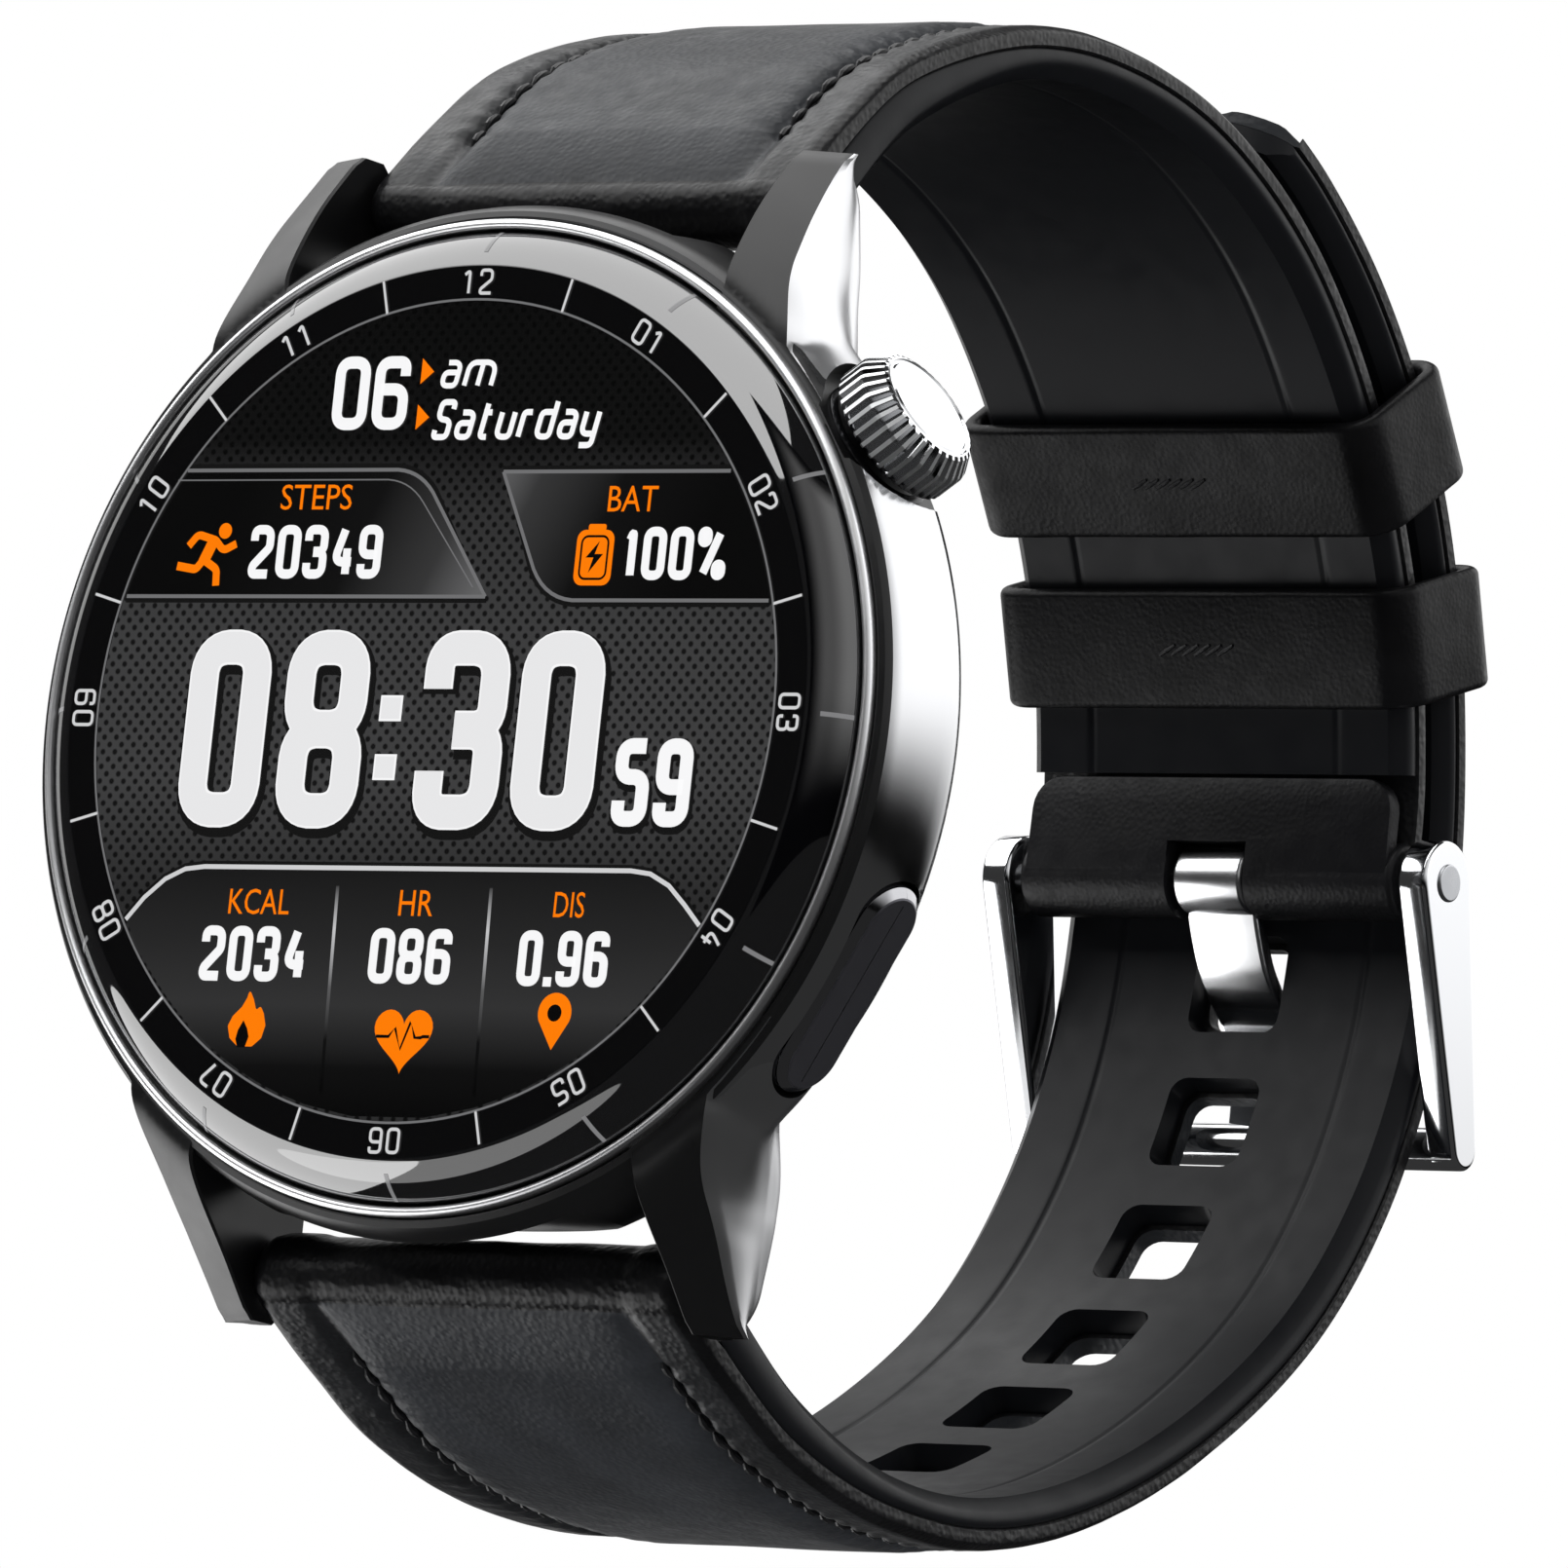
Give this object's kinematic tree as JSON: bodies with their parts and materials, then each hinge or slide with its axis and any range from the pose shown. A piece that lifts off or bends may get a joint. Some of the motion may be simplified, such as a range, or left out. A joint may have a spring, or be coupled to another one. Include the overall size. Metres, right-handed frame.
{
  "type": "smartwatch",
  "caption": "Round smartwatch with a knurled crown, a side push-button and a buckled leather-and-rubber strap closed in a loop.",
  "frame": {"origin": "centre of the sensor window's flat wrist face on the caseback", "axes": "+X to the crown side (3 o'clock), +Y from the dial into the wrist, +Z to 12 o'clock"},
  "size_m": [0.0448, 0.0662, 0.066],
  "materials": {
    "case_black": "satin black front, polished sides",
    "bezel_chrome": "polished",
    "cover_glass": "polished, dark",
    "seal_rubber": "matte",
    "screen": "dark display",
    "inner_steel": "turned",
    "circuit_board": "solder mask",
    "foil": "foil",
    "inner_plastic": "moulded",
    "back_plastic": "gloss black",
    "contact_gold": "gold plated",
    "crown_chrome": "knurled and polished",
    "button_grey": "satin grey",
    "strap_rubber": "satin black",
    "strap_leather": "fine grain, charcoal",
    "keeper_leather": "grained, glossy black",
    "buckle_chrome": "polished"
  },
  "bodies": {
    "case": {"case_body": "case_black", "bezel_ring": "bezel_chrome", "cover_glass": "cover_glass", "glass_seal": "seal_rubber", "display_panel": "screen", "inner_frame": "inner_steel", "main_board": "circuit_board", "battery": "foil", "processor_shield": "foil", "vibration_motor": "inner_steel", "speaker": "inner_plastic", "microphone": "contact_gold", "sensor_board": "circuit_board", "back_cover": "back_plastic", "sensor_window": "cover_glass", "back_seal": "seal_rubber", "back_screw_1": "inner_steel", "back_screw_2": "inner_steel", "back_screw_3": "inner_steel", "back_screw_4": "inner_steel", "charge_contact_1": "contact_gold", "charge_contact_2": "contact_gold", "charge_magnet_1": "inner_steel", "charge_magnet_2": "inner_steel", "crown_collar": "inner_plastic", "crown_switch": "inner_plastic", "button_seal": "seal_rubber", "button_switch": "inner_plastic", "spring_bar_top": "inner_steel", "spring_bar_bottom": "inner_steel"},
    "crown_slider": {"crown_slider": "inner_steel"},
    "crown": {"crown_cap": "crown_chrome", "crown_stem": "inner_steel", "crown_seal": "seal_rubber"},
    "side_button": {"side_button": "button_grey", "button_plunger": "inner_steel"},
    "spring_pin_top": {"spring_bar_top_pin": "inner_steel"},
    "spring_pin_bottom": {"spring_bar_bottom_pin": "inner_steel"},
    "strap_short": {"strap_short_lining": "strap_rubber", "strap_short_leather": "strap_leather", "keeper_fixed": "keeper_leather"},
    "strap_long": {"strap_long_lining": "strap_rubber", "strap_long_leather": "strap_leather"},
    "keeper_free": {"keeper_free": "keeper_leather"},
    "buckle_frame": {"buckle_frame": "buckle_chrome", "buckle_bar": "inner_steel"},
    "buckle_tongue": {"buckle_tongue": "buckle_chrome"}
  },
  "joints": [
    {"name": "crown_press", "type": "slide", "parent": "case", "child": "crown_slider", "axis": [-0.8241, 0, -0.5664], "range_m": [0, 0.0003], "stiffness_N_per_m": 3000, "springref_m": -0.0002},
    {"name": "crown_spin", "type": "hinge", "parent": "crown_slider", "child": "crown", "pos_m": [0, -0.0059, 0], "axis": [0.8241, 0, 0.5664], "continuous": true},
    {"name": "button_press", "type": "slide", "parent": "case", "child": "side_button", "axis": [-0.8704, 0, 0.4924], "range_m": [0, 0.0003], "stiffness_N_per_m": 3000, "springref_m": -0.0002},
    {"name": "spring_pin_top_retract", "type": "slide", "parent": "case", "child": "spring_pin_top", "axis": [-1, 0, 0], "range_m": [0, 0.001], "stiffness_N_per_m": 800, "springref_m": -0.0005},
    {"name": "spring_pin_bottom_retract", "type": "slide", "parent": "case", "child": "spring_pin_bottom", "axis": [-1, 0, 0], "range_m": [0, 0.001], "stiffness_N_per_m": 800, "springref_m": -0.0005},
    {"name": "strap_short_pivot", "type": "hinge", "parent": "case", "child": "strap_short", "pos_m": [0, -0.0027, 0.023], "axis": [1, 0, 0], "range_deg": [-0.2, 0.4]},
    {"name": "strap_long_pivot", "type": "hinge", "parent": "case", "child": "strap_long", "pos_m": [0, -0.0027, -0.023], "axis": [1, 0, 0], "range_deg": [-0.2, 0.4]},
    {"name": "keeper_travel", "type": "hinge", "parent": "strap_short", "child": "keeper_free", "pos_m": [0, 0.01747, 0.00285], "axis": [1, 0, 0], "range_deg": [-3, 6.5]},
    {"name": "buckle_pivot", "type": "hinge", "parent": "strap_short", "child": "buckle_frame", "pos_m": [0, 0.04935, 0.003], "axis": [1, 0, 0], "range_deg": [0, 5]},
    {"name": "tongue_pivot", "type": "hinge", "parent": "buckle_frame", "child": "buckle_tongue", "pos_m": [0, 0.04935, 0.003], "axis": [1, 0, 0], "range_deg": [0, 3]}
  ],
  "couplings": [
    {"joint": "strap_long_pivot", "follows": "strap_short_pivot", "ratio": 1}
  ]
}
